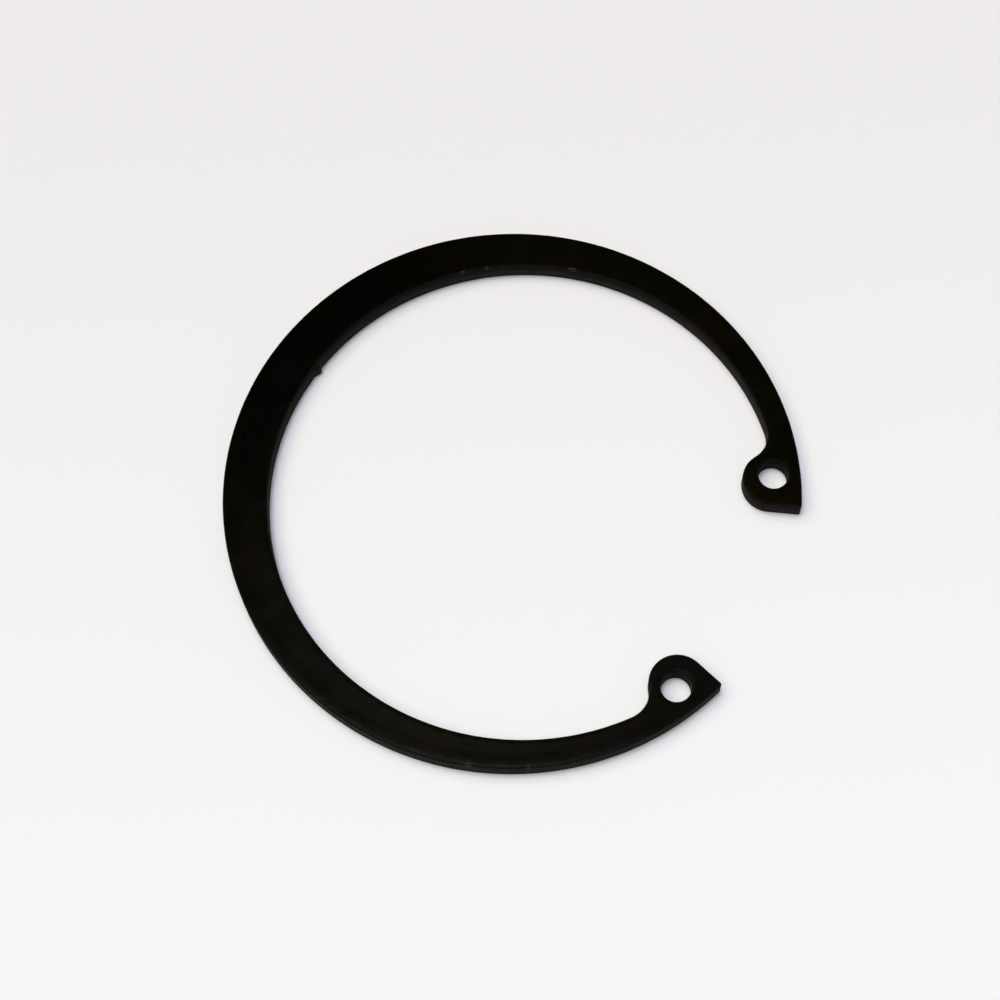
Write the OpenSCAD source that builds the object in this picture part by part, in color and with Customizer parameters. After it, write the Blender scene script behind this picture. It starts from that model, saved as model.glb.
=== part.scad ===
// Internal retaining ring: a flat, open spring ring that snaps into a groove
// inside a bore. It is stamped from strip, is widest opposite its gap, and ends
// in two inward lugs with a plier hole each. It lies flat, its lower face on
// z = 0, with the middle of its outer circle at the origin and its gap at +X.

/* [Ring] */
// Outer diameter of the ring as it lies free
free_d = 56.2; // [48:0.1:70]
// Thickness of the strip that the ring is stamped from
thickness = 2; // [1:0.05:3]
// Radial width of the ring opposite the gap
back_w = 4.5; // [3.5:0.1:6]
// Radial width that the taper would reach in the middle of the gap
end_w = 2.1; // [1.5:0.1:3]
// Width and depth of the broken edges along both faces
edge_break = 0.15; // [0.05:0.01:0.25]

/* [Lugs] */
// Straight distance between the two outer tips, across the gap
gap_w = 19.6; // [14:0.2:24]
// Radial depth of each lug, from the outer edge to its innermost point
lug_w = 5.65; // [5:0.05:6.6]
// Radius of the round that ends each lug
lug_r = 2.75; // [2.4:0.05:3.2]
// Distance along the outer edge from a tip to the middle of its lug's round
lug_set = 3.15; // [2.6:0.05:3.8]
// Radius of the fillet between each lug and the ring's inner edge
neck_r = 2.8; // [1.6:0.1:4.5]

/* [Plier holes] */
// Diameter of each plier hole
hole_d = 2.9; // [2:0.1:3.2]
// How far a plier hole lies outward of the middle of its lug's round
hole_out = 0.25; // [0:0.05:0.5]
// How far a plier hole lies behind the middle of its lug's round, away from the gap
hole_back = 0.45; // [0:0.05:0.7]

/* [Burr] */
// Direction of the stamping burr on the inner edge, in degrees round from the gap
burr_at = 171.7; // [100:0.1:260]
// How far the burr stands out of the inner edge
burr_out = 0.3; // [0.1:0.05:0.6]
// Length of the burr's foot along the inner edge
burr_w = 0.9; // [0.4:0.1:2]
// Share of the thickness that the burr takes up, from the lower face
burr_share = 0.7; // [0.3:0.05:0.9]

/* [Hidden] */
$fn = 180;
// How deep curves that run into each other are lapped over, so that they cross
lap = 0.0005;
// How far a broken edge runs on past the end of its own curve
run_on = 0.1;
// How far cutting shapes reach past what they cut
past = 1;

// The inner circle lies off the middle of the outer circle, towards the gap,
// so that the ring tapers evenly from its back to its lugs
outer_r = free_d / 2;
inner_r = outer_r - (back_w + end_w) / 2;
inner_c = [(back_w - end_w) / 2, 0];
hole_r = hole_d / 2;

function polar(r, a) = [r * cos(a), r * sin(a)];
function turned(v) = [-v[1], v[0]];
function heading(v) = atan2(v[1], v[0]);
function arc_angle(length, r) = length / r * 180 / PI;
// Distance from the origin to the inner circle, in a direction
function inner_reach(a) = inner_c[0] * cos(a) + sqrt(inner_r^2 - (inner_c[0] * sin(a))^2);

// Upper tip, and the middles of the lug's round and of the plier hole
tip_a = asin(gap_w / 2 / outer_r);
lug_a = tip_a + arc_angle(lug_set, outer_r);
lug_out = outer_r - lug_w + lug_r;
tip = polar(outer_r, tip_a);
lug_c = polar(lug_out, lug_a);
hole_c = polar(lug_out + hole_out, lug_a + arc_angle(hole_back, outer_r));

// The straight end face leaves the tip and runs into the lug's round
tip_to_lug = lug_c - tip;
face_off = lug_r - lap;
face_a = heading(tip_to_lug) + asin(face_off / norm(tip_to_lug));
face_len = sqrt(norm(tip_to_lug)^2 - face_off^2);
face_end = tip + polar(face_len, face_a);

// The neck's fillet runs into the inner edge and into the lug's round
neck_in = inner_r - neck_r + lap;
neck_out = lug_r + neck_r - lap;
to_lug = lug_c - inner_c;
lug_dist = norm(to_lug);
neck_along = (neck_in^2 - neck_out^2 + lug_dist^2) / (2 * lug_dist);
neck_across = sqrt(neck_in^2 - neck_along^2);
neck_c = inner_c + (neck_along * to_lug + neck_across * turned(to_lug)) / lug_dist;
neck_a = heading(neck_c - inner_c);
neck_to_lug_a = heading(lug_c - neck_c);

// What a lug adds inside the inner circle, left uncut on the side of the gap
module lug_block() {
    below = polar(lug_r + past, face_a + 90);
    translate(lug_c) circle(r = lug_r);
    difference() {
        polygon([lug_c, neck_c, inner_c + polar(inner_r + past, neck_a), polar(outer_r, lug_a),
                 lug_c + below + polar(face_len + past, face_a + 180), lug_c + below]);
        translate(neck_c) circle(r = neck_r);
    }
}

// The gap, between the two straight end faces
module gap() {
    far = tip - polar(outer_r, face_a);
    near = face_end + polar(past, face_a);
    polygon([near, far, [far[0], -far[1]], [near[0], -near[1]]]);
}

module both_sides() {
    children();
    mirror([0, 1]) children();
}

module ring_section() {
    difference() {
        circle(r = outer_r);
        difference() {
            translate(inner_c) circle(r = inner_r);
            both_sides() lug_block();
        }
        gap();
        both_sides() translate(hole_c) circle(r = hole_r);
    }
}

// Section that breaks the upper edge of a wall at x = wall. The wall's material
// is at lower x where side is 1, and at higher x where it is -1
module break_section(wall, side) {
    polygon([[wall - side * (edge_break + past), thickness + past],
             [wall + side * past, thickness - edge_break - past],
             [wall + side * past, thickness + past]]);
}

// That section swept round a middle, from one direction to another
module round_break(middle, r, side, from, to) {
    translate(middle) rotate(from) rotate_extrude(angle = to - from) break_section(r, side);
}

module lug_breaks() {
    neck_on = arc_angle(run_on, neck_r);
    lug_on = arc_angle(run_on, lug_r);
    round_break(neck_c, neck_r, -1, neck_to_lug_a - neck_on, neck_a + neck_on);
    round_break(lug_c, lug_r, 1, neck_to_lug_a + 180 - lug_on, face_a + 90 + lug_on);
    translate(face_end - polar(run_on, face_a + 180)) rotate(face_a + 180) rotate([90, 0, 90])
        linear_extrude(face_len + run_on + past) break_section(0, -1);
    round_break(hole_c, hole_r, -1, 0, 360);
}

module upper_breaks() {
    inner_on = arc_angle(run_on, inner_r);
    round_break([0, 0], outer_r, 1, 0, 360);
    round_break(inner_c, inner_r, -1, neck_a - inner_on, 360 - neck_a + inner_on);
    both_sides() lug_breaks();
}

// Pointed burr that the stamping left on the inner edge, steep towards the
// nearer lug and drawn out on its other side
module burr() {
    steep = 0.2;
    seat = burr_w / 2;
    foot = inner_reach(burr_at);
    linear_extrude(burr_share * thickness) rotate(burr_at)
        polygon([[foot + seat, -steep * burr_w], [foot, -steep * burr_w], [foot - burr_out, 0],
                 [foot, (1 - steep) * burr_w], [foot + seat, (1 - steep) * burr_w]]);
}

module retaining_ring() {
    color("#1c1b18") {
        difference() {
            linear_extrude(thickness) ring_section();
            upper_breaks();
            translate([0, 0, thickness]) mirror([0, 0, 1]) upper_breaks();
        }
        burr();
    }
}

retaining_ring();
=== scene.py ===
"""Internal retaining ring of phosphated spring steel, lying flat on a pale table top.

Everything is in metres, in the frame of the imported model: the ring's lower face
on z = 0, the middle of its outer circle at the origin and its gap at +X. Colours
are written as they are seen, from 0 to 255.
"""
import logging
import math
from dataclasses import dataclass, field
from enum import Enum
from typing import ClassVar

import bmesh
import bpy
from mathutils import Matrix, Vector, kdtree, noise
from mathutils.geometry import delaunay_2d_cdt


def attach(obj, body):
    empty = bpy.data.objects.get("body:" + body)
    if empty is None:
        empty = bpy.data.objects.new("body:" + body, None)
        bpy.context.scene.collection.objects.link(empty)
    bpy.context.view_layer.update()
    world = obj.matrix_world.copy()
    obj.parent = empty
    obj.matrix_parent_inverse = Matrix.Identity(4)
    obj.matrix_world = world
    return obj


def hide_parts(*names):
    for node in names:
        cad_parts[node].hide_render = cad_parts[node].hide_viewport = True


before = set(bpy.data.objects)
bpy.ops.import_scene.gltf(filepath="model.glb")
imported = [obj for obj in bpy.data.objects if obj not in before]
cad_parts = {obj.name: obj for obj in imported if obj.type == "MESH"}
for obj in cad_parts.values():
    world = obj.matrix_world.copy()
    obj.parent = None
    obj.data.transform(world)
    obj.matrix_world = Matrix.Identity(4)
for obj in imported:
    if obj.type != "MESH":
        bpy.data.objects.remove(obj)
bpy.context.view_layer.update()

MM = 0.001
# For delaunay_2d_cdt: its output with every triangle, and how near points have to be to count as one
ALL_TRIANGLES = 0
SAME_SPOT = 1e-9
log = logging.getLogger("retaining_ring")

Span = tuple[float, float]
Triple = tuple[float, float, float]
Tone = Triple
Socket = bpy.types.NodeSocket


def linear(tone: Tone) -> tuple[float, float, float, float]:
    """Turns a colour as seen into the light it stands for, by the sRGB curve.

    Args:
        tone: Red, green and blue, each from 0 to 255.

    Returns:
        The linear colour with full alpha.
    """
    parts = []
    for part in tone:
        share = part / 255
        parts.append(share / 12.92 if share <= 0.04045 else ((share + 0.055) / 1.055) ** 2.4)
    return (*parts, 1.0)


def polar(radius: float, angle: float) -> Vector:
    """Gives the point at a radius and an angle in radians."""
    return Vector((radius * math.cos(angle), radius * math.sin(angle)))


def heading(way: Vector) -> float:
    """Gives the angle of a direction, in radians."""
    return math.atan2(way.y, way.x)


class Edge(Enum):
    """The stretches of the ring's outline."""

    OUTER = "outer edge"
    TIP = "tip"
    END = "end face"
    LUG = "lug round"
    NECK = "neck fillet"
    INNER = "inner edge"
    HOLE = "plier hole"


Marks = dict[Edge, tuple[float, ...]]


class Zone(Enum):
    """The ring's finishes, each with its place in the material slots."""

    FACE = 0
    WALL = 1
    BARE = 2


class Layer(Enum):
    """Values that the ring's mesh holds for each of its points."""

    FROM_EDGE = "from_edge"
    BARE = "bare"


@dataclass(frozen=True)
class Station:
    """A place on the outline, where the wall's section is set up.

    Attributes:
        point: The place, seen from above.
        out: The direction out of the metal, of length 1.
        edge: The stretch of outline that it lies on.
    """

    point: Vector
    out: Vector
    edge: Edge

    def mirrored(self) -> "Station":
        """Gives the same place on the other half of the ring."""
        flip = Vector((1, -1))
        return Station(self.point * flip, self.out * flip, self.edge)

    def past(self, angle: float) -> float:
        """Gives its distance round the ring past a direction from the ring's middle."""
        return (heading(self.point) % math.tau - angle) * self.point.length


@dataclass(frozen=True)
class Burr:
    """The tongue of metal that the stamping left on the inner edge.

    Attributes:
        at: Its direction from the middle of the ring, in radians round from the gap.
        out: How far it stands out of the wall.
        width: Length of its foot along the wall.
        steep: Share of its foot that its steep side takes up, towards the nearer lug.
        top: Height of its upper end above the lower face.
        curl: Share of its height over which the upper end curls back to the wall.
        base: Share of its reach that it has on the lower face.
        point: How sharply it runs to its tip, where 1 is straight and more is hollow.
    """

    at: float = math.radians(170.15)
    out: float = 0.38 * MM
    width: float = 1.0 * MM
    steep: float = 0.25
    top: float = 1.4 * MM
    curl: float = 0.25
    base: float = 0.8
    point: float = 1.1

    def stand(self, place: float, height: float) -> float:
        """Says how far the burr stands out of the wall.

        Args:
            place: Distance along the inner edge from the burr's tip, towards the back.
            height: Height above the lower face.

        Returns:
            The distance out of the wall, 0 away from the burr.
        """
        before, after = self.steep * self.width, (1 - self.steep) * self.width
        share = 1 + place / before if place < 0 else 1 - place / after
        if share <= 0:
            return 0.0
        lift = min(1.0, max(0.0, (self.top - height) / (self.curl * self.top)))
        low = min(1.0, self.base + height / self.top)
        return self.out * share ** self.point * math.sin(lift * math.pi / 2) * low


@dataclass(frozen=True)
class Nick:
    """A knock on an upper edge, which shows bare steel.

    Attributes:
        edge: The stretch of outline that it is on.
        at: Its direction from the middle of the ring, in radians round from the gap.
        length: How far it runs along the edge.
        depth: By what share the broken edge is wider there.
    """

    edge: Edge
    at: float
    length: float
    depth: float

    def share(self, place: float) -> float:
        """Says how strongly the nick shows, from 0 to 1, at a distance along the edge."""
        reach = abs(place) / (self.length / 2)
        return 0.0 if reach >= 1 else (1 - reach * reach) ** 2


@dataclass(frozen=True)
class RingOutline:
    """The ring's outline seen from above, built from the same sizes as the solid.

    Attributes:
        outer_r: Radius of the outer edge.
        back_w: Radial width opposite the gap.
        end_w: Radial width that the taper would reach in the middle of the gap.
        gap_w: Distance between the two tips.
        lug_w: Radial depth of a lug.
        lug_r: Radius of a lug's round.
        lug_set: Distance along the outer edge from a tip to the middle of its lug.
        neck_r: Radius of the fillet between a lug and the inner edge.
        hole_r: Radius of a plier hole.
        hole_out: How far a hole lies outward of the middle of its lug's round.
        hole_back: How far it lies behind that middle.
        tip_r: Radius to which the tips are worn.
        step: Usual distance between stations on the two long edges.
        fine: Usual distance between them elsewhere.
        fewest: Fewest steps on a short arc.
        slack: How near to an arc's end its last station may come, in steps.
        mark_reach: How far from a mark the stations start to close up.
        mark_step: Distance between stations at a mark.
    """

    outer_r: float = 28.1 * MM
    back_w: float = 4.5 * MM
    end_w: float = 2.1 * MM
    gap_w: float = 19.6 * MM
    lug_w: float = 5.65 * MM
    lug_r: float = 2.75 * MM
    lug_set: float = 3.15 * MM
    neck_r: float = 2.8 * MM
    hole_r: float = 1.45 * MM
    hole_out: float = 0.25 * MM
    hole_back: float = 0.45 * MM
    tip_r: float = 0.25 * MM
    step: float = 0.24 * MM
    fine: float = 0.1 * MM
    fewest: int = 8
    slack: float = 0.25
    mark_reach: float = 1.2 * MM
    mark_step: float = 0.03 * MM

    @property
    def inner_r(self) -> float:
        """Radius of the inner edge."""
        return self.outer_r - (self.back_w + self.end_w) / 2

    @property
    def inner_c(self) -> Vector:
        """Middle of the inner edge's circle."""
        return Vector(((self.back_w - self.end_w) / 2, 0))

    @property
    def tip_a(self) -> float:
        """Direction of the upper tip."""
        return math.asin(self.gap_w / 2 / self.outer_r)

    @property
    def lug_c(self) -> Vector:
        """Middle of the upper lug's round."""
        return polar(self.outer_r - self.lug_w + self.lug_r, self.tip_a + self.lug_set / self.outer_r)

    @property
    def hole_c(self) -> Vector:
        """Middle of the upper plier hole."""
        set_back = (self.lug_set + self.hole_back) / self.outer_r
        return polar(self.outer_r - self.lug_w + self.lug_r + self.hole_out, self.tip_a + set_back)

    @property
    def neck_c(self) -> Vector:
        """Works out the middle of the upper neck's fillet.

        Returns:
            The middle, from which the fillet touches the lug's round and the inner edge.
        """
        to_lug = self.lug_c - self.inner_c
        far, inward, outward = to_lug.length, self.inner_r - self.neck_r, self.lug_r + self.neck_r
        along = (inward ** 2 - outward ** 2 + far ** 2) / (2 * far)
        across = math.sqrt(inward ** 2 - along ** 2)
        return self.inner_c + (along * to_lug + across * Vector((-to_lug.y, to_lug.x))) / far

    @property
    def face_a(self) -> float:
        """Direction in which the upper end face runs inward from the tip."""
        to_lug = self.lug_c - polar(self.outer_r, self.tip_a)
        return heading(to_lug) + math.asin(self.lug_r / to_lug.length)

    @property
    def tip_c(self) -> Vector:
        """Works out the middle of the upper tip's round.

        Returns:
            The middle, from which the round touches the outer edge and the end face.
        """
        run, out = polar(1, self.face_a), polar(1, self.face_a + math.pi / 2)
        start = polar(self.outer_r, self.tip_a) - self.tip_r * out
        along = start.dot(run)
        slide = -along - math.sqrt(along ** 2 - start.length_squared + (self.outer_r - self.tip_r) ** 2)
        return start + min((slide, -2 * along - slide), key=abs) * run

    def inner_reach(self, angle: float) -> float:
        """Gives the distance from the origin to the inner edge in a direction."""
        off = self.inner_c.x * math.sin(angle)
        return self.inner_c.x * math.cos(angle) + math.sqrt(self.inner_r ** 2 - off ** 2)

    def arc(self, edge: Edge, centre: Vector, radius: float, start: float, stop: float,
            marks: tuple[float, ...] = (), hollow: bool = False) -> list[Station]:
        """Sets stations along an arc, closer together beside marks.

        Args:
            edge: The stretch of outline that the arc is.
            centre: Middle of the arc.
            radius: Radius of the arc.
            start: Direction of the first station from the centre, in radians.
            stop: Direction in which the arc ends.
            marks: Distances from the start where something small sits.
            hollow: Whether the metal lies outside the arc.

        Returns:
            The stations, with the first and without the last.
        """
        length = abs(stop - start) * radius
        usual = self.step if edge in (Edge.OUTER, Edge.INNER) else self.fine
        usual = min(usual, length / self.fewest)
        places, place = [], 0.0
        while place < length - self.slack * usual:
            places.append(place)
            near = min((abs(place - mark) for mark in marks), default=length)
            place += usual if near > self.mark_reach else max(self.mark_step, usual * near / self.mark_reach)
        squeeze = length / place if place > length else 1.0
        turn, side = (1 if stop > start else -1), (-1 if hollow else 1)
        angles = [start + turn * place * squeeze / radius for place in places]
        return [Station(centre + polar(radius, angle), side * polar(1, angle), edge) for angle in angles]

    def line(self, edge: Edge, start: Vector, stop: Vector, out: Vector) -> list[Station]:
        """Sets stations along a straight stretch.

        Args:
            edge: The stretch of outline that it is.
            start: Where it starts.
            stop: Where it ends.
            out: The direction out of the metal.

        Returns:
            The stations, with the first and without the last.
        """
        count = round((stop - start).length / self.fine)
        return [Station(start.lerp(stop, index / count), out, edge) for index in range(count)]

    def half(self, marks: Marks) -> list[Station]:
        """Sets the stations of the upper half, from the back along the outer edge and round.

        Args:
            marks: For the two long edges, the directions of the marks on them from the middle
                of each edge's own circle, in radians.

        Returns:
            The stations, from the outer edge at the back to the inner edge there.
        """
        tip_c, lug_c, neck_c, inner_c = self.tip_c, self.lug_c, self.neck_c, self.inner_c
        out_a = self.face_a + math.pi / 2
        out, lug_to_neck = polar(1, out_a), neck_c - lug_c
        tip_from, neck_a = heading(tip_c), heading(neck_c - inner_c)
        outer_marks = tuple((math.pi - mark) * self.outer_r for mark in marks[Edge.OUTER])
        inner_marks = tuple((mark - neck_a) * self.inner_r for mark in marks[Edge.INNER])
        made = self.arc(Edge.OUTER, Vector((0, 0)), self.outer_r, math.pi, tip_from, outer_marks)
        made += self.arc(Edge.TIP, tip_c, self.tip_r, tip_from, out_a - math.tau)
        made += self.line(Edge.END, tip_c + self.tip_r * out, lug_c + self.lug_r * out, out)
        made += self.arc(Edge.LUG, lug_c, self.lug_r, out_a - math.tau, heading(lug_to_neck) - math.tau)
        made += self.arc(Edge.NECK, neck_c, self.neck_r, heading(-lug_to_neck), neck_a, hollow=True)
        made += self.arc(Edge.INNER, inner_c, self.inner_r, neck_a, math.pi, inner_marks, hollow=True)
        made.append(Station(inner_c - Vector((self.inner_r, 0)), Vector((1, 0)), Edge.INNER))
        return made

    def rim(self, upper: Marks, lower: Marks) -> list[Station]:
        """Sets the stations of the whole outline, holes left out.

        Args:
            upper: Directions of the marks on the upper half's long edges.
            lower: Directions of the marks on the lower half's, as if mirrored to the upper half.

        Returns:
            The stations in order, clockwise seen from above.
        """
        other = [station.mirrored() for station in reversed(self.half(lower))]
        return self.half(upper) + other[1:-1]

    def hole(self, side: int) -> list[Station]:
        """Sets the stations of a plier hole, the upper lug's for side 1 and the lower's for side -1."""
        centre = Vector((self.hole_c.x, side * self.hole_c.y))
        return self.arc(Edge.HOLE, centre, self.hole_r, 0.0, math.tau, hollow=True)


class NodeBench:
    """Adds and links the nodes of one procedural material.

    Its noises lie mostly between 0.3 and 0.7, so the ranges that pick parts of them lie there too.
    """

    def __init__(self, name: str) -> None:
        """Starts a material with a Principled shader.

        Args:
            name: Name of the material.
        """
        self.material = bpy.data.materials.new(name)
        self.material.use_nodes = True
        self.tree = self.material.node_tree
        self.shader = self.tree.nodes["Principled BSDF"]

    def add(self, kind: str, inputs: dict[str | int, object] | None = None,
            **settings: object) -> bpy.types.Node:
        """Adds a node.

        Args:
            kind: Blender's name for the node type.
            inputs: Values or sockets for the node's inputs.
            settings: Values for the node's own settings.

        Returns:
            The new node.
        """
        node = self.tree.nodes.new(kind)
        for key, value in settings.items():
            setattr(node, key, value)
        for key, value in (inputs or {}).items():
            self.feed(node.inputs[key], value)
        return node

    def feed(self, target: Socket, value: object) -> None:
        """Links a socket to an input, or sets the input's value.

        Args:
            target: The input.
            value: The socket or value for it.
        """
        if isinstance(value, bpy.types.NodeSocket):
            self.tree.links.new(value, target)
        else:
            target.default_value = value

    def surface(self, colour: object, rough: object, specular: float, normal: Socket | None = None,
                metal: object = 0.0) -> bpy.types.Material:
        """Feeds the shader.

        Args:
            colour: The colour, as light.
            rough: The roughness.
            specular: How strongly it mirrors.
            normal: The bumped normal, where it has one.
            metal: How metallic it is.

        Returns:
            The finished material.
        """
        fed = {"Base Color": colour, "Roughness": rough, "Specular IOR Level": specular, "Metallic": metal}
        if normal is not None:
            fed["Normal"] = normal
        for name, value in fed.items():
            self.feed(self.shader.inputs[name], value)
        return self.material

    def math(self, operation: str, first: object, second: object = 0.0) -> Socket:
        """Works out one sum of two values or sockets."""
        return self.add("ShaderNodeMath", {0: first, 1: second}, operation=operation).outputs[0]

    def span(self, value: object, low: float, high: float, to_low: float = 0.0, to_high: float = 1.0,
             smooth: bool = False) -> Socket:
        """Maps a value from one range to another and holds it there.

        Args:
            value: The value to map.
            low: Where the range starts.
            high: Where it ends.
            to_low: What the start becomes.
            to_high: What the end becomes.
            smooth: Whether the change is eased at both ends.

        Returns:
            The mapped value.
        """
        easing = "SMOOTHSTEP" if smooth else "LINEAR"
        node = self.add("ShaderNodeMapRange", {0: value, 1: low, 2: high, 3: to_low, 4: to_high},
                        interpolation_type=easing)
        return node.outputs[0]

    def place(self) -> Socket:
        """Gives the place on the piece, in metres."""
        return self.add("ShaderNodeTexCoord").outputs["Object"]

    def offset(self, place: Socket, shift: Triple, stretch: Triple = (1.0, 1.0, 1.0)) -> Socket:
        """Gives a place moved and stretched, so that two textures of one kind differ."""
        node = self.add("ShaderNodeMapping", {"Vector": place, "Location": shift, "Scale": stretch})
        return node.outputs[0]

    def grain(self, place: Socket, size: float, detail: float = 2.0, rough: float = 0.5,
              twist: float = 0.0) -> Socket:
        """Gives smooth noise.

        Args:
            place: Where it is read.
            size: Size of its patches, in metres.
            detail: How many finer layers it has.
            rough: How strongly they show.
            twist: How far it is warped.

        Returns:
            The noise, about 0 to 1.
        """
        inputs = {"Vector": place, "Scale": 1 / size, "Detail": detail, "Roughness": rough,
                  "Distortion": twist}
        return self.add("ShaderNodeTexNoise", inputs).outputs[0]

    def blend(self, share: object, first: object, second: object) -> Socket:
        """Mixes two colours by a share from 0 to 1."""
        node = self.add("ShaderNodeMix", {0: share, 6: first, 7: second}, data_type="RGBA")
        return node.outputs[2]

    def bump(self, height: Socket, depth: float, normal: Socket | None = None) -> Socket:
        """Raises the surface by a height map.

        Args:
            height: The height, about 0 to 1.
            depth: What a height of 1 stands for, in metres.
            normal: An earlier bump to add to.

        Returns:
            The bumped normal.
        """
        inputs = {"Height": height, "Distance": depth, "Strength": 1.0}
        if normal is not None:
            inputs["Normal"] = normal
        return self.add("ShaderNodeBump", inputs).outputs[0]

    def held(self, layer: Layer) -> Socket:
        """Reads a value that the mesh holds for each of its points."""
        return self.add("ShaderNodeAttribute", attribute_name=layer.value).outputs["Fac"]

    def parts(self, place: Socket) -> list[Socket]:
        """Gives the three parts of a place."""
        return list(self.add("ShaderNodeSeparateXYZ", {0: place}).outputs)

    def ring_place(self, place: Socket, radius: float) -> Socket:
        """Gives the place along the ring, across it and up it, so that a texture can follow its bend.

        Args:
            place: The place on the piece.
            radius: Radius at which a length along the ring is true.

        Returns:
            The place as length round from the back towards the lower lug, distance from the
            middle, and height.
        """
        x, y, z = self.parts(place)
        turn = self.math("ARCTAN2", self.math("MULTIPLY", y, -1.0), self.math("MULTIPLY", x, -1.0))
        flat = self.add("ShaderNodeCombineXYZ", {0: x, 1: y}).outputs[0]
        across = self.add("ShaderNodeVectorMath", {0: flat}, operation="LENGTH").outputs["Value"]
        along = self.math("MULTIPLY", turn, radius)
        return self.add("ShaderNodeCombineXYZ", {0: along, 1: across, 2: z}).outputs[0]


@dataclass(frozen=True)
class Mottle:
    """Patches of another colour on the phosphated faces.

    Attributes:
        tone: Their colour.
        shift: Where their noise is read, so that no two kinds match.
        share: Their size, as a share of the brown patches'.
        starts: Noise at which a patch starts to show.
        full: Noise at which it shows in full.
    """

    tone: Tone
    shift: Triple
    share: float
    starts: float
    full: float


@dataclass(frozen=True)
class FaceMaps:
    """What the parts of the faces' finish are worked out from.

    Attributes:
        bench: The finish's nodes.
        radius: Outer radius of the ring.
        place: The place on the piece.
        ring: The place along the ring, across it and up it.
        from_back: Length round the ring from its back, towards the lower lug.
        across: Distance from the ring's middle.
        from_edge: Distance from the nearest edge.
        patches: Noise of the brown patches' size.
        flecks: Noise of the flecks' size.
    """

    bench: NodeBench
    radius: float
    place: Socket
    ring: Socket
    from_back: Socket
    across: Socket
    from_edge: Socket
    patches: Socket
    flecks: Socket


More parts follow.
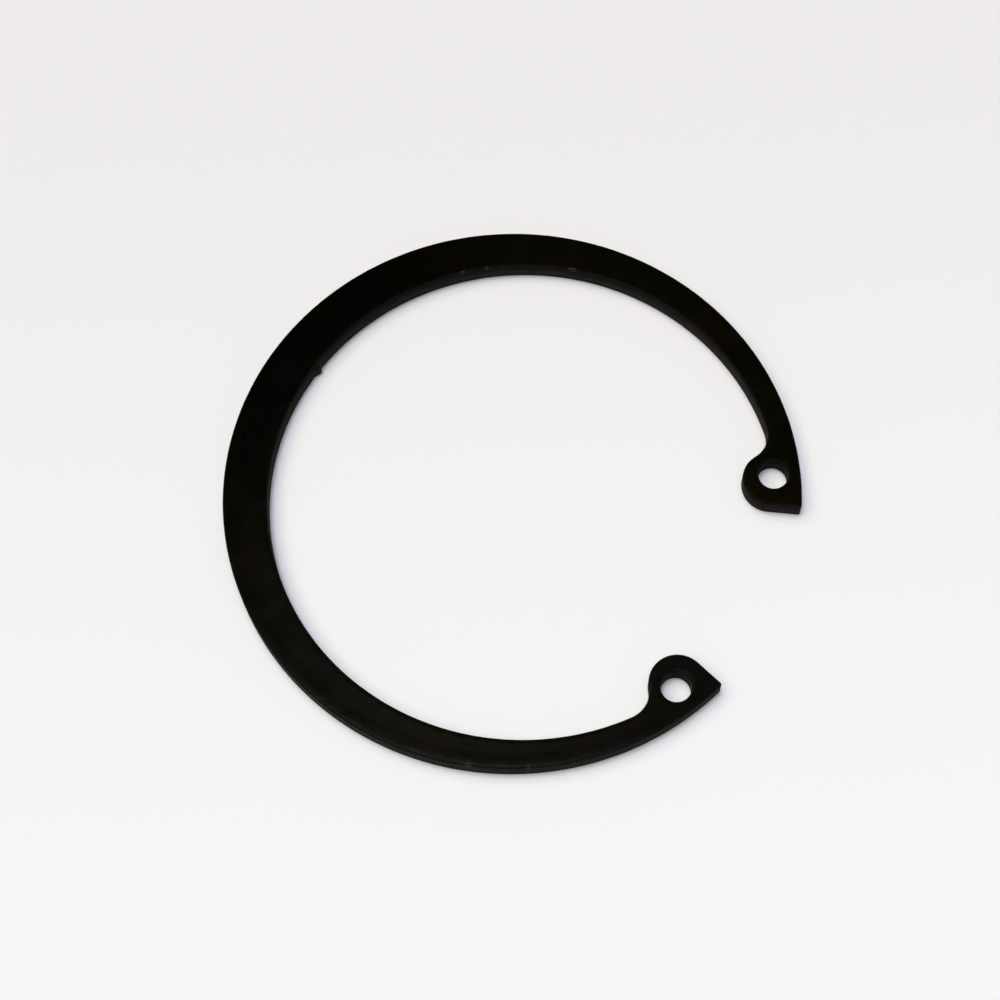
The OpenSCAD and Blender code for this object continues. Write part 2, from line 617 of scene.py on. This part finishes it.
@dataclass(frozen=True)
class PhosphatedFace:
    """Finish of the ring's faces and broken edges: black phosphate with an oily film, mottled olive and
    brown.

    Attributes:
        name: Name of the material.
        olive: Main colour.
        brown: Colour of the browner patches.
        mottles: The greener and the greyer patches.
        lug: Colour of the lower lug, which is greyer and bluer: a painted cool reflection.
        pale: Colour of the worn edges.
        rub: Colour of the rub marks that run round the ring.
        patch: Size of the brown patches.
        fleck: Size of the flecks.
        crystal: Size of the coating's crystals.
        wave: Size of the waves that the strip was rolled with.
        fleck_h: Height of the flecks.
        crystal_h: Height of the crystals.
        wave_h: Height of the waves.
        gloss: Roughness of the oily face.
        gloss_sway: How far it differs from patch to patch.
        fleck_sway: How far it differs from fleck to fleck.
        rim_gloss: By how much the rim's roughness differs, below 0 where it is smoother.
        rim_reach: Shares of the outer radius between which it changes.
        edge_gloss: How much rougher the broken edges are.
        edge_reach: Distances from an edge between which that fades.
        specular: How strongly it mirrors.
        worn: How strongly the worn edges show.
        worn_reach: Distances from an edge between which they fade.
        rubbed: How strongly the rub marks show.
        rub_w: Width of the rub marks.
        coin_at: Share of the outer radius at which the face steps up to its rim.
        coin_w: Half the step's width.
        coin_h: Height of the step.
        coin_wave: Length of the waves in that height.
        painted_shade: Colour of the painted shade that darkens one stretch of the face, where it catches the
            least light.
        shaded_at: Middle of that painted shade, in radians round from the back.
        shaded_half: Half its length, in radians.
        shaded_core: Share of that half over which it is darkest.
        shaded_share: How much darker it makes the face, from 0 to 1.
        sheen_lug_from: How far round from the back that painted reflection on the lower lug starts, in
            radians.
        sheen_lug_share: How strongly it would show in the middle of the gap.
    """

    name: str = "phosphated_face"
    olive: Tone = (6, 6, 1)
    brown: Tone = (10, 6, 0)
    mottles: tuple[Mottle, ...] = (
        Mottle((4, 6, 0), (0.4, 0.1, 0.2), 1.3, 0.52, 0.62),
        Mottle((8, 7, 5), (0.9, 0.6, 0.2), 0.8, 0.56, 0.66),
    )
    # painted reflection: the lower lug's greyer, bluer tone stands in for the cool light that it mirrors
    lug: Tone = (10, 10, 13)
    pale: Tone = (27, 25, 22)
    rub: Tone = (19, 16, 7)
    patch: float = 3.4 * MM
    fleck: float = 0.5 * MM
    crystal: float = 0.07 * MM
    wave: float = 2.4 * MM
    fleck_h: float = 0.002 * MM
    crystal_h: float = 0.0008 * MM
    wave_h: float = 0.016 * MM
    gloss: float = 0.245
    gloss_sway: float = 0.035
    fleck_sway: float = 0.01
    rim_gloss: float = -0.03
    rim_reach: Span = (0.92, 0.96)
    edge_gloss: float = 0.3
    edge_reach: Span = (0.08 * MM, 0.22 * MM)
    specular: float = 0.021
    worn: float = 0.75
    worn_reach: Span = (0.05 * MM, 0.2 * MM)
    rubbed: float = 0.3
    rub_w: float = 0.35 * MM
    coin_at: float = 0.962
    coin_w: float = 0.55 * MM
    coin_h: float = 0.013 * MM
    coin_wave: float = 5 * MM
    # painted shade: a darker stretch of the face round the back, towards the upper lug, where it catches the
    # least light
    painted_shade: Tone = (0, 0, 0)
    shaded_at: float = math.radians(-12)
    shaded_half: float = math.radians(55)
    shaded_core: float = 0.4
    shaded_share: float = 0.6
    sheen_lug_from: float = math.radians(143)
    sheen_lug_share: float = 1.6

    def material(self, radius: float) -> bpy.types.Material:
        """Makes the finish.

        Args:
            radius: Outer radius of the ring, which rub marks follow.

        Returns:
            The material.
        """
        maps = self.maps(NodeBench(self.name), radius)
        colour = self.marked(maps, self.mottled(maps))
        rough, normal = self.roughness(maps), self.relief(maps)
        return maps.bench.surface(colour, rough, self.specular, normal)

    def maps(self, bench: NodeBench, radius: float) -> FaceMaps:
        """Sets up what the finish is worked out from.

        Args:
            bench: The finish's nodes.
            radius: Outer radius of the ring.

        Returns:
            The places and noises.
        """
        place = bench.place()
        ring = bench.ring_place(place, radius)
        from_back, across, _ = bench.parts(ring)
        patches = bench.grain(place, self.patch, twist=0.3)
        flecks = bench.grain(bench.offset(place, (0.2, 0.3, 0.1)), self.fleck)
        from_edge = bench.held(Layer.FROM_EDGE)
        return FaceMaps(bench, radius, place, ring, from_back, across, from_edge, patches, flecks)

    def mottled(self, maps: FaceMaps) -> Socket:
        """Works out the colour of the coating: its patches, a painted shade on the stretch round the back and
        a painted cool reflection on the lower lug.

        Args:
            maps: What it is worked out from.

        Returns:
            The colour.
        """
        bench, radius = maps.bench, maps.radius
        browned = bench.span(maps.patches, 0.46, 0.58, smooth=True)
        colour = bench.blend(browned, linear(self.olive), linear(self.brown))
        for mottle in self.mottles:
            spots = bench.grain(bench.offset(maps.place, mottle.shift), self.patch * mottle.share)
            shown = bench.span(spots, mottle.starts, mottle.full, smooth=True)
            colour = bench.blend(shown, colour, linear(mottle.tone))
        # painted shade: darkens the face round the back, towards the upper lug, where it catches the least
        # light
        from_shaded = bench.math("ABSOLUTE", bench.math("SUBTRACT", maps.from_back, self.shaded_at * radius))
        half = self.shaded_half * radius
        shaded = bench.span(from_shaded, self.shaded_core * half, half, self.shaded_share, 0.0, smooth=True)
        colour = bench.blend(shaded, colour, linear(self.painted_shade))
        # painted reflection: greys and blues the lower lug for the cool light that it mirrors
        to_lug = bench.span(maps.from_back, self.sheen_lug_from * radius, math.pi * radius, 0.0, self.sheen_lug_share)
        lug_sheen = bench.math("MULTIPLY", to_lug, bench.span(maps.patches, 0.4, 0.6, 0.35, 1.0))
        return bench.blend(lug_sheen, colour, linear(self.lug))

    def marked(self, maps: FaceMaps, colour: Socket) -> Socket:
        """Adds the rub marks that run round the ring, and the worn edges.

        Args:
            maps: What they are worked out from.
            colour: Colour of the coating.

        Returns:
            The colour with the marks.
        """
        bench = maps.bench
        rubs = bench.grain(bench.offset(maps.ring, (0.1, 0.2, 0.3), (0.05, 1.0, 1.0)), self.rub_w, rough=0.6)
        rubbed = bench.span(rubs, 0.5, 0.75, 0.0, self.rubbed)
        rubbed = bench.math("MULTIPLY", rubbed, bench.span(maps.flecks, 0.35, 0.7))
        worn = bench.span(maps.from_edge, *self.worn_reach, self.worn, 0.0, smooth=True)
        worn = bench.math("MULTIPLY", worn, bench.span(maps.flecks, 0.25, 0.5, 0.3, 1.0))
        return bench.blend(worn, bench.blend(rubbed, colour, linear(self.rub)), linear(self.pale))

    def roughness(self, maps: FaceMaps) -> Socket:
        """Works out the roughness.

        Args:
            maps: What it is worked out from.

        Returns:
            The roughness.
        """
        bench = maps.bench
        rim_from, rim_full = (share * maps.radius for share in self.rim_reach)
        least, most = self.gloss - self.gloss_sway, self.gloss + self.gloss_sway
        rough = bench.span(maps.patches, 0.35, 0.65, least, most)
        for part in (
            bench.span(maps.flecks, 0.3, 0.7, -self.fleck_sway, self.fleck_sway),
            bench.span(maps.across, rim_from, rim_full, 0.0, self.rim_gloss, smooth=True),
            bench.span(maps.from_edge, *self.edge_reach, self.edge_gloss, 0.0, smooth=True),
        ):
            rough = bench.math("ADD", rough, part)
        return rough

    def relief(self, maps: FaceMaps) -> Socket:
        """Raises the coined rim, the rolled waves, the flecks and the crystals.

        Args:
            maps: What they are worked out from.

        Returns:
            The bumped normal.
        """
        bench, middle = maps.bench, self.coin_at * maps.radius
        step = bench.span(maps.across, middle - self.coin_w, middle + self.coin_w, smooth=True)
        uneven = bench.grain(bench.offset(maps.ring, (0.6, 0.1, 0.8), (1.0, 0.0, 0.0)), self.coin_wave, 1.0)
        coined = bench.math("MULTIPLY", step, bench.span(uneven, 0.3, 0.6, 0.5, 1.0, smooth=True))
        waves = bench.grain(bench.offset(maps.place, (0.7, 0.5, 0.1)), self.wave, 1.0)
        crystals = bench.grain(maps.place, self.crystal, rough=0.6)
        normal = bench.bump(coined, self.coin_h)
        for height, depth in ((waves, self.wave_h), (maps.flecks, self.fleck_h), (crystals, self.crystal_h)):
            normal = bench.bump(height, depth, normal)
        return normal


@dataclass(frozen=True)
class StampedWall:
    """Finish of the cut walls: a smoother sheared band above, torn metal below, both phosphated.

    Attributes:
        name: Name of the material.
        sheared: Main colour of the sheared band.
        burnished: Colour of its burnished patches.
        torn: Colour of the torn metal.
        pale: Colour of the specks on both.
        tear_at: Height at which the one gives way to the other.
        wave: Length of the waves in the line between them.
        sway: How far those waves rise and fall.
        crumble: How far the torn grains break the line.
        soft: Half the height over which the two blend.
        crumb: Size of the torn grains.
        crumb_h: Their height.
        score: Width of the upright score marks.
        score_h: Their depth.
        patch: Size of the burnished patches.
        sheared_rough: Roughness of the sheared band.
        torn_rough: Roughness of the torn metal.
        rough_sway: How far the roughness differs from score mark to score mark.
        specular: How strongly both mirror.
    """

    name: str = "stamped_wall"
    sheared: Tone = (28, 25, 22)
    burnished: Tone = (20, 17, 16)
    torn: Tone = (43, 42, 42)
    pale: Tone = (64, 63, 62)
    tear_at: float = 1.15 * MM
    wave: float = 2.2 * MM
    sway: float = 0.28 * MM
    crumble: float = 0.05 * MM
    soft: float = 0.09 * MM
    crumb: float = 0.14 * MM
    crumb_h: float = 0.02 * MM
    score: float = 0.09 * MM
    score_h: float = 0.006 * MM
    patch: float = 1.1 * MM
    sheared_rough: float = 0.42
    torn_rough: float = 0.6
    rough_sway: float = 0.05
    specular: float = 0.006

    def material(self, radius: float) -> bpy.types.Material:
        """Makes the finish.

        Args:
            radius: Outer radius of the ring, which the score marks stand across.

        Returns:
            The material.
        """
        bench = NodeBench(self.name)
        place = bench.place()
        ring = bench.ring_place(place, radius)
        crumbs = bench.grain(bench.offset(place, (0.2, 0.6, 0.4)), self.crumb, 3.0, 0.65)
        scores = bench.grain(bench.offset(ring, (0.5, 0.2, 0.6), (1.0, 0.6, 0.06)), self.score, rough=0.6)
        patches = bench.grain(bench.offset(ring, (0.7, 0.4, 0.2), (1.0, 1.0, 0.3)), self.patch, rough=0.6)
        upper = self.above_tear(bench, ring, crumbs)
        sheared = bench.blend(bench.span(patches, 0.4, 0.6), linear(self.sheared), linear(self.burnished))
        specks = bench.math("MULTIPLY", bench.span(crumbs, 0.56, 0.72),
                            bench.span(patches, 0.4, 0.65, 0.2, 0.6))
        colour = bench.blend(specks, bench.blend(upper, linear(self.torn), sheared), linear(self.pale))
        rough = bench.math("ADD", bench.span(upper, 0.0, 1.0, self.torn_rough, self.sheared_rough),
                           bench.span(scores, 0.3, 0.7, -self.rough_sway, self.rough_sway))
        torn = bench.math("MULTIPLY", crumbs, bench.math("SUBTRACT", 1.0, upper))
        normal = bench.bump(torn, self.crumb_h, bench.bump(scores, self.score_h))
        return bench.surface(colour, rough, self.specular, normal)

    def above_tear(self, bench: NodeBench, ring: Socket, crumbs: Socket) -> Socket:
        """Tells the sheared band from the torn metal.

        Args:
            bench: The material's nodes.
            ring: The place along the ring, across it and up it.
            crumbs: Noise of the torn grains' size.

        Returns:
            1 in the sheared band and 0 in the torn metal.
        """
        sway = bench.grain(bench.offset(ring, (0.3, 0.0, 0.1), (1.0, 0.0, 0.0)), self.wave, 4.0)
        line = bench.math("ADD", bench.parts(ring)[2], bench.span(sway, 0.25, 0.75, -self.sway, self.sway))
        line = bench.math("ADD", line, bench.span(crumbs, 0.3, 0.7, -self.crumble, self.crumble))
        return bench.span(line, self.tear_at - self.soft, self.tear_at + self.soft, smooth=True)


@dataclass(frozen=True)
class BareSteel:
    """Finish of the knocks on the edges, where the phosphate is rubbed through to steel.

    Attributes:
        name: Name of the material.
        steel: Colour of the steel in the middle of a knock.
        dull: Colour of the thin phosphate round it.
        metal: How metallic the steel is.
        specular: How strongly the thin phosphate mirrors.
        rough: Least and greatest roughness.
        scuff: Size of the scuff marks.
        scuff_h: Their height.
    """

    name: str = "bare_steel"
    steel: Tone = (47, 45, 42)
    dull: Tone = (14, 12, 9)
    metal: float = 0.3
    specular: float = 0.06
    rough: Span = (0.3, 0.5)
    scuff: float = 0.12 * MM
    scuff_h: float = 0.004 * MM

    def material(self) -> bpy.types.Material:
        """Makes the finish, which fades from the middle of each knock to its ends.

        Returns:
            The material.
        """
        bench = NodeBench(self.name)
        scuffs = bench.grain(bench.offset(bench.place(), (0.1, 0.4, 0.3)), self.scuff, 3.0, 0.7)
        shown = bench.span(bench.held(Layer.BARE), 0.05, 0.8, smooth=True)
        rubbed = bench.math("MULTIPLY", shown, bench.span(scuffs, 0.3, 0.55, 0.25, 1.0))
        colour = bench.blend(rubbed, linear(self.dull), linear(self.steel))
        rough, normal = bench.span(scuffs, 0.3, 0.7, *self.rough), bench.bump(scuffs, self.scuff_h)
        return bench.surface(colour, rough, self.specular, normal, bench.math("MULTIPLY", rubbed, self.metal))


@dataclass(frozen=True)
class WallSection:
    """Section of the ring's wall, from the lower face over both broken edges to the upper face.

    Attributes:
        thickness: Height of the ring.
        upper_r: Radius of the upper broken edge.
        lower_r: Radius of the lower one.
        turns: Steps round each broken edge.
        rows: Steps up the wall between them.
    """

    thickness: float = 2.0 * MM
    upper_r: float = 0.15 * MM
    lower_r: float = 0.12 * MM
    turns: int = 5
    rows: int = 8

    def points(self, upper: float, lower: float) -> list[tuple[float, float]]:
        """Gives the section's points, from the lower face to the upper one.

        Args:
            upper: Factor on the upper edge's radius.
            lower: Factor on the lower edge's radius.

        Returns:
            Distance in from the outline, and height, of each point.
        """
        low, high = self.lower_r * lower, self.upper_r * upper
        turned = [math.pi / 2 * index / self.turns for index in range(self.turns + 1)]
        wall = self.thickness - high - low
        made = [(low * (1 - math.sin(turn)), low * (1 - math.cos(turn))) for turn in turned]
        made += [(0.0, low + index / self.rows * wall) for index in range(1, self.rows)]
        made += [(high * (1 - math.cos(turn)), self.thickness - high * (1 - math.sin(turn)))
                 for turn in turned]
        return made


@dataclass(frozen=True)
class EdgeWear:
    """How unevenly the edges are broken, by a coarse and a fine noise.

    Attributes:
        coarse: Waves of the coarse noise in a millimetre.
        fine: Waves of the fine noise in a millimetre.
        upper: By what share the coarse noise widens the upper edge.
        lower: By what share it narrows the lower edge.
        both: By what share the fine noise widens either.
        rim_seed: Where the noise is read for the outline.
        hole_seed: Where it is read for the holes.
    """

    coarse: float = 0.9
    fine: float = 3.3
    upper: float = 0.16
    lower: float = 0.14
    both: float = 0.1
    rim_seed: float = 7.7
    hole_seed: float = 3.1

    def factors(self, station: Station) -> tuple[float, float]:
        """Says by what factors the broken edges' radii differ at a station.

        Args:
            station: The place on the outline.

        Returns:
            The factors for the upper and for the lower edge.
        """
        flat = station.point / MM
        spot = Vector((flat.x, flat.y, self.hole_seed if station.edge is Edge.HOLE else self.rim_seed))
        coarse, fine = noise.noise(spot * self.coarse), self.both * noise.noise(spot * self.fine)
        return 1 + self.upper * coarse + fine, 1 - self.lower * coarse + fine


@dataclass
class RetainingRing:
    """The ring itself, one stamped piece, with its burr and the knocks on its edges.

    Attributes:
        outline: The outline seen from above.
        section: The wall's section.
        wear: How unevenly its edges are broken.
        burr: The stamping burr.
        nicks: The knocks that show bare steel.
        bare_from: How strongly a knock has to show to have its own finish.
        grid: Spacing of the points inside the faces.
        clear: How far those points stay from the outline.
        name: Name of the piece.
        node: Name of the solid that it replaces.
    """

    outline: RingOutline = field(default_factory=RingOutline)
    section: WallSection = field(default_factory=WallSection)
    wear: EdgeWear = field(default_factory=EdgeWear)
    burr: Burr = field(default_factory=Burr)
    nicks: tuple[Nick, ...] = (
        Nick(Edge.OUTER, math.radians(286.9), 1.1 * MM, 0.9),
        Nick(Edge.OUTER, math.radians(298.2), 0.7 * MM, 1.0),
        Nick(Edge.INNER, math.radians(100.6), 1.3 * MM, 0.7),
        Nick(Edge.INNER, math.radians(121.1), 0.6 * MM, 0.5),
        Nick(Edge.INNER, math.radians(127.0), 0.8 * MM, 0.6),
    )
    bare_from: float = 0.08
    grid: float = 0.42 * MM
    clear: float = 0.26 * MM
    name: str = "ring_steel"
    node: str = "retaining_ring"

    def marks(self, lower: bool) -> Marks:
        """Lists where the knocks and the burr are on one half of the ring.

        Args:
            lower: Whether it is the lower half, whose marks are given mirrored to the upper.

        Returns:
            For the two long edges, the marks' directions from the middle of the edge's own circle.
        """
        found: dict[Edge, list[float]] = {Edge.OUTER: [], Edge.INNER: []}
        for edge, angle in [(nick.edge, nick.at) for nick in self.nicks] + [(Edge.INNER, self.burr.at)]:
            if (angle > math.pi) != lower:
                continue
            angle = math.tau - angle if lower else angle
            spot = polar(self.outline.outer_r, angle)
            if edge is Edge.INNER:
                spot = polar(self.outline.inner_reach(angle), angle) - self.outline.inner_c
            found[edge].append(heading(spot))
        return {edge: tuple(angles) for edge, angles in found.items()}

    def nicked(self, station: Station) -> tuple[float, float]:
        """Says how strongly a knock shows at a station.

        Args:
            station: The place on the outline.

        Returns:
            How strongly it shows, from 0 to 1, and by what share it widens the broken edge.
        """
        most = (0.0, 0.0)
        for nick in self.nicks:
            if nick.edge is station.edge:
                share = nick.share(station.past(nick.at))
                most = max(most, (share, share * nick.depth))
        return most

    def column(self, station: Station) -> tuple[list[Vector], list[float]]:
        """Gives the points of the wall at a station, from the lower face to the upper.

        Args:
            station: The place on the outline.

        Returns:
            The points in order, and how far in from the outline each one lies.
        """
        upper, lower = self.wear.factors(station)
        made, inwards = [], []
        for inward, height in self.section.points(upper + self.nicked(station)[1], lower):
            stand = self.burr.stand(station.past(self.burr.at), height) if station.edge is Edge.INNER else 0.0
            flat = station.point + station.out * (stand - inward)
            made.append(Vector((flat.x, flat.y, height)))
            inwards.append(inward)
        return made, inwards

    def wall(self, mesh: bmesh.types.BMesh, stations: list[Station]) -> tuple[list, list]:
        """Builds one closed wall.

        Args:
            mesh: The mesh that takes it.
            stations: The stations round it.

        Returns:
            Its points on the lower face and on the upper face.
        """
        bare, from_edge = (mesh.verts.layers.float[layer.value] for layer in (Layer.BARE, Layer.FROM_EDGE))
        columns = []
        for station in stations:
            points, inwards = self.column(station)
            column = [mesh.verts.new(point) for point in points]
            for vert, inward in zip(column, inwards):
                vert[from_edge] = inward
            for vert in column[-self.section.turns - 1:]:
                vert[bare] = self.nicked(station)[0]
            columns.append(column)
        first_up = len(columns[0]) - self.section.turns - 1
        for column, after in zip(columns, columns[1:] + columns[:1]):
            for row in range(len(column) - 1):
                face = mesh.faces.new((column[row], after[row], after[row + 1], column[row + 1]))
                zone = Zone.WALL if self.section.turns <= row < first_up else Zone.FACE
                if row >= first_up and column[row][bare] > self.bare_from:
                    zone = Zone.BARE
                face.material_index = zone.value
                face.smooth = True
        return [column[0] for column in columns], [column[-1] for column in columns]

    def grid_points(self, tree: kdtree.KDTree) -> list[Vector]:
        """Spreads points over the square that the ring fills, clear of its outline.

        Args:
            tree: The outline's points, to measure from.

        Returns:
            The points, seen from above, in the metal and beside it.
        """
        made = []
        reach = self.outline.outer_r
        row_step = self.grid * math.sqrt(3) / 2
        for row in range(int(2 * reach / row_step) + 1):
            for column in range(int(2 * reach / self.grid) + 1):
                point = Vector(((column + 0.5 * (row % 2)) * self.grid - reach, row * row_step - reach))
                if tree.find(point.to_3d())[2] > self.clear:
                    made.append(point)
        return made

    def face(self, mesh: bmesh.types.BMesh, rims: list[list], grid: list[Vector],
             tree: kdtree.KDTree, upper: bool) -> None:
        """Builds one face of the ring between the edges of its walls.

        Args:
            mesh: The mesh that takes it.
            rims: The points round the outline, clockwise, and round each hole, the other way.
            grid: The points to choose from within, seen from above.
            tree: The outline's points, to measure from.
            upper: Whether it is the upper face.
        """
        verts, loops = [], []
        for rim in rims:
            loops.append(list(range(len(verts), len(verts) + len(rim))))
            verts += rim
        loops[0].reverse()
        flat = [vert.co.to_2d() for vert in verts] + grid
        _, _, triangles, origin, _, within = delaunay_2d_cdt(flat, [], loops, ALL_TRIANGLES, SAME_SPOT, True)
        height = self.section.thickness if upper else 0.0
        from_edge = mesh.verts.layers.float[Layer.FROM_EDGE.value]
        used = dict(enumerate(verts))
        for triangle, loops_round in zip(triangles, within):
            if loops_round != [0]:
                continue
            corners = []
            for index in (origin[spot][0] for spot in triangle):
                if index not in used:
                    used[index] = mesh.verts.new((flat[index].x, flat[index].y, height))
                    used[index][from_edge] = tree.find(flat[index].to_3d())[2]
                corners.append(used[index])
            made = mesh.faces.new(corners if upper else corners[::-1])
            made.material_index = Zone.FACE.value
            made.smooth = True

    def build(self) -> bpy.types.Object:
        """Builds the ring's mesh.

        Returns:
            The ring, without its finishes.
        """
        mesh = bmesh.new()
        for layer in Layer:
            mesh.verts.layers.float.new(layer.value)
        loops = [self.outline.rim(self.marks(lower=False), self.marks(lower=True)),
                 self.outline.hole(1), self.outline.hole(-1)]
        tree = kdtree.KDTree(sum(len(loop) for loop in loops))
        for index, station in enumerate(station for loop in loops for station in loop):
            tree.insert(station.point.to_3d(), index)
        tree.balance()
        rims = [self.wall(mesh, loop) for loop in loops]
        grid = self.grid_points(tree)
        self.face(mesh, [rim[0] for rim in rims], grid, tree, upper=False)
        self.face(mesh, [rim[1] for rim in rims], grid, tree, upper=True)
        bmesh.ops.recalc_face_normals(mesh, faces=mesh.faces)
        data = bpy.data.meshes.new(self.name)
        mesh.to_mesh(data)
        mesh.free()
        ring = bpy.data.objects.new(self.name, data)
        bpy.context.scene.collection.objects.link(ring)
        return ring

    def dress(self, ring: bpy.types.Object) -> None:
        """Gives the ring its finishes, in the order of Zone, and its place in the frame.

        Args:
            ring: The ring's mesh.
        """
        radius = self.outline.outer_r
        for finish in (PhosphatedFace().material(radius), StampedWall().material(radius),
                       BareSteel().material()):
            ring.data.materials.append(finish)
        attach(ring, "root")
        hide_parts(self.node)

    def make(self) -> bpy.types.Object:
        """Builds and dresses the ring.

        Returns:
            The ring.
        """
        ring = self.build()
        self.dress(ring)
        return ring


@dataclass(frozen=True)
class TableTop:
    """The plain pale floor that the ring lies on, a little warmer and darker far away.

    Attributes:
        name: Name of the floor.
        half: Half its width.
        below: How far it lies below the ring, so that the two never share a plane.
        near: Its colour near the camera.
        far: Its colour far away.
        fade: How far from the ring's middle each colour is full.
        rough: Its roughness.
    """

    name: str = "table_top"
    half: float = 6.0
    below: float = 0.02 * MM
    near: Tone = (254, 254, 255)
    far: Tone = (244, 242, 241)
    fade: float = 60 * MM
    rough: float = 0.9

    def make(self) -> bpy.types.Object:
        """Builds the floor.

        Returns:
            The floor.
        """
        data = bpy.data.meshes.new(self.name)
        corners = [(-self.half, -self.half, 0), (self.half, -self.half, 0),
                   (self.half, self.half, 0), (-self.half, self.half, 0)]
        data.from_pydata(corners, [], [(0, 1, 2, 3)])
        floor = bpy.data.objects.new(self.name, data)
        bpy.context.scene.collection.objects.link(floor)
        floor.location.z = -self.below
        data.materials.append(self.material())
        return floor

    def material(self) -> bpy.types.Material:
        """Makes the pale matt finish of the floor.

        Returns:
            The material.
        """
        bench = NodeBench("pale_table")
        inputs = {"Vector": bench.place(), "Angle": PhotoCamera.gap_turn}
        towards = bench.add("ShaderNodeVectorRotate", inputs, rotation_type="Z_AXIS").outputs[0]
        share = bench.span(bench.parts(towards)[1], -self.fade, self.fade, smooth=True)
        return bench.surface(bench.blend(share, linear(self.near), linear(self.far)), self.rough, 0.0)


@dataclass(frozen=True)
class PhotoCamera:
    """The camera of the photograph, as found from the ring's outline in it.

    Attributes:
        focal: Focal length in widths of the frame.
        elevation: How steeply it looks down, in radians.
        roll: How far it is turned about its own axis, in radians.
        shift_x: How far the ring's middle lies from its axis, to the right, in outer radii.
        shift_y: The same upward.
        distance: How far it is from the ring, in outer radii.
        radius: The ring's outer radius.
        sensor: Width of its sensor, in millimetres.
        nearest: How near it sees.
        farthest: How far it sees.
        gap_turn: Direction of the gap in the picture, in radians round from the right.
    """

    focal: float = 2.1
    elevation: float = math.radians(67.6412)
    roll: float = math.radians(-3.0268)
    shift_x: float = 0.04129
    shift_y: float = 0.01767
    distance: float = 2100 / 286.88409
    radius: float = RingOutline.outer_r
    sensor: float = 36.0
    nearest: float = 1 * MM
    farthest: float = 50.0
    gap_turn: ClassVar[float] = math.radians(-28.0108)

    def make(self) -> bpy.types.Object:
        """Places the camera and makes it the scene's own.

        Returns:
            The camera.
        """
        ahead = Vector((0, math.cos(self.elevation), -math.sin(self.elevation)))
        level, lift = Vector((1, 0, 0)), Vector((1, 0, 0)).cross(ahead)
        right = math.cos(self.roll) * level + math.sin(self.roll) * lift
        up = -math.sin(self.roll) * level + math.cos(self.roll) * lift
        spot = -self.distance * ahead - self.shift_x * right - self.shift_y * up
        turn = Matrix.Rotation(-self.gap_turn, 3, "Z")
        axes = Matrix((turn @ right, turn @ up, turn @ -ahead)).transposed()
        lens = bpy.data.cameras.new("photo_camera")
        lens.sensor_width = self.sensor
        lens.lens = self.focal * self.sensor
        lens.clip_start, lens.clip_end = self.nearest, self.farthest
        camera = bpy.data.objects.new("photo_camera", lens)
        camera.matrix_world = Matrix.Translation(turn @ spot * self.radius) @ axes.to_4x4()
        bpy.context.scene.collection.objects.link(camera)
        bpy.context.scene.camera = camera
        return camera


class LightUse(Enum):
    """What a light is there for."""

    LIGHTS = "lights the surfaces below it"
    SHEEN = "shows in their gloss"


@dataclass(frozen=True)
class SoftLight:
    """A soft light from far above.

    Attributes:
        name: What it is called.
        use: Whether it lights surfaces or shows in their gloss.
        azimuth: Where its middle lies, in degrees round from the picture's right.
        off_top: How far its middle lies from straight above, in degrees.
        spread: How wide it looks from the ring, in degrees.
        level: Light that it sheds on a flat white surface, where 1 shows white.
        colour: Its colour.
    """

    name: str
    use: LightUse
    azimuth: float
    off_top: float
    spread: float
    level: float
    colour: Tone

    def make(self) -> bpy.types.Object:
        """Hangs the light.

        Returns:
            The light.
        """
        lamp = bpy.data.lights.new(self.name, "SUN")
        tilt = math.radians(self.off_top)
        lamp.energy = self.level * math.pi / math.cos(tilt)
        lamp.angle = math.radians(self.spread)
        lamp.color = linear(self.colour)[:3]
        round_to = math.radians(self.azimuth) - PhotoCamera.gap_turn
        back = polar(math.sin(tilt), round_to).to_3d() + Vector((0, 0, math.cos(tilt)))
        holder = bpy.data.objects.new(self.name, lamp)
        holder.location = back
        holder.rotation_mode = "QUATERNION"
        holder.rotation_quaternion = back.to_track_quat("Z", "Y")
        holder.visible_diffuse = self.use is LightUse.LIGHTS
        holder.visible_glossy = self.use is LightUse.SHEEN
        bpy.context.scene.collection.objects.link(holder)
        return holder


@dataclass(frozen=True)
class StudioLight:
    """The soft light of the photograph: a broad light at the upper left, a ceiling light and a dim room.

    Attributes:
        lights: The lights that hang above the ring.
        room: Colour of the room's own light.
        room_level: Its strength, where 1 shows white.
    """

    lights: tuple[SoftLight, ...] = (
        SoftLight("broad_light", LightUse.LIGHTS, 165.0, 16.0, 62.0, 0.62, (255, 238, 205)),
        SoftLight("ceiling_light", LightUse.LIGHTS, 134.0, 7.3, 20.0, 0.4, (199, 221, 255)),
        SoftLight("ceiling_sheen", LightUse.SHEEN, 134.0, 7.3, 20.0, 0.34, (252, 247, 238)),
    )
    room: Tone = (205, 226, 255)
    room_level: float = 0.165

    def make(self) -> list[bpy.types.Object]:
        """Hangs the lights and dims the room.

        Returns:
            The lights.
        """
        world = bpy.data.worlds.new("studio_room")
        world.use_nodes = True
        shade = world.node_tree.nodes["Background"]
        shade.inputs["Color"].default_value = linear(self.room)
        shade.inputs["Strength"].default_value = self.room_level
        bpy.context.scene.world = world
        return [light.make() for light in self.lights]


def main() -> None:
    """Builds the scene, piece by piece."""
    logging.basicConfig(level=logging.INFO, format="%(message)s")
    bpy.context.scene.view_settings.view_transform = "Standard"
    camera = PhotoCamera().make()
    log.info("camera %s", camera.name)
    for light in StudioLight().make():
        log.info("light %s", light.name)
    floor = TableTop().make()
    log.info("floor %s", floor.name)
    ring = RetainingRing().make()
    log.info("piece %s: %d faces", ring.name, len(ring.data.polygons))


if __name__ == "__main__":
    main()
